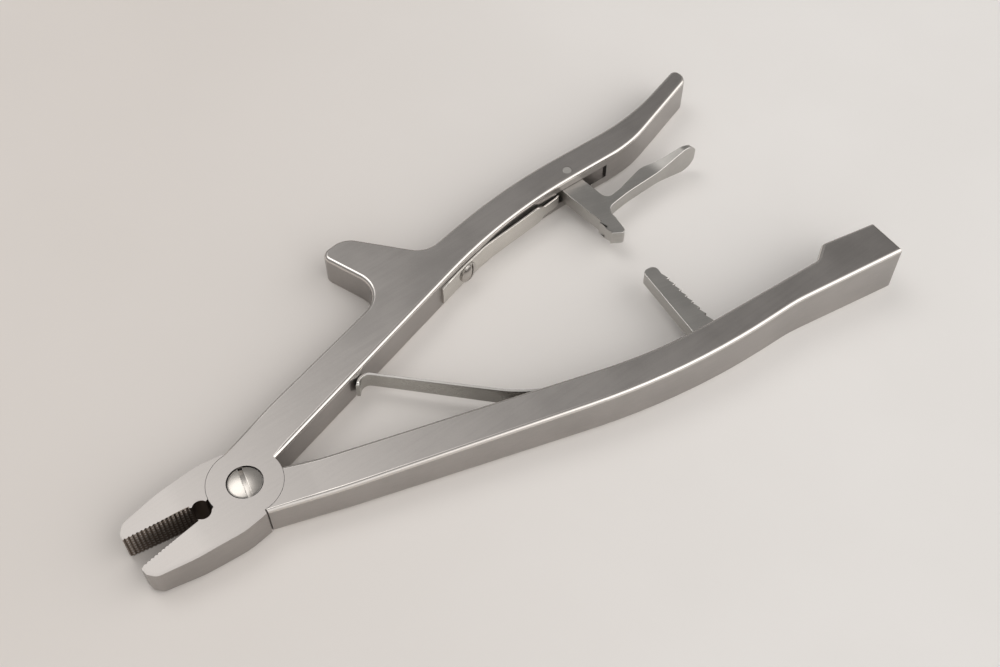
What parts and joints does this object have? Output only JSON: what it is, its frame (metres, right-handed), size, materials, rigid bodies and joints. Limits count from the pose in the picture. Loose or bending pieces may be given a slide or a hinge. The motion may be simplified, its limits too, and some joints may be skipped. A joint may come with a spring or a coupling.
{
  "type": "pin extraction forceps",
  "caption": "Lap-jointed pin extraction forceps with cross-cut jaws, a pin throat, a finger spur, a leaf return spring, and a sprung pawl that catches a toothed bar between the handles.",
  "frame": {"origin": "on the pivot axis, in the flat underside of the joint", "axes": "+Z along the pivot axis, up out of the slotted screw head; +X from the jaws to the handles, halfway between them; +Y towards the lever that carries the finger spur"},
  "size_m": [0.2328, 0.1091, 0.0178],
  "materials": {
    "lever_steel": "satin stainless steel with polished edges",
    "screw_steel": "polished stainless steel",
    "spring_steel": "polished spring steel",
    "ratchet_steel": "satin stainless steel"
  },
  "bodies": {
    "block_side": {"block_lever": "lever_steel", "pivot_screw": "screw_steel", "return_spring": "spring_steel", "return_spring_screw": "screw_steel", "ratchet_bar": "ratchet_steel"},
    "spur_side": {"spur_lever": "lever_steel", "pawl_pin": "screw_steel", "pawl_spring": "spring_steel", "pawl_spring_screw": "screw_steel"},
    "pawl": {"pawl": "ratchet_steel"}
  },
  "joints": [
    {"name": "handle_pivot", "type": "hinge", "parent": "block_side", "child": "spur_side", "pos_m": [0, 0, 0.0055], "axis": [0, 0, 1], "range_deg": [-16, 2], "stiffness_Nm_per_rad": 3.2, "deforming": ["return_spring"]},
    {"name": "pawl_pivot", "type": "hinge", "parent": "spur_side", "child": "pawl", "pos_m": [0.13969, 0.03498, 0.0055], "axis": [0, 0, 1], "range_deg": [-1.4, 11], "deforming": ["pawl_spring"]}
  ],
  "couplings": [
    {"joint": "pawl_pivot", "follows": "handle_pivot", "ratio": -0.67}
  ]
}
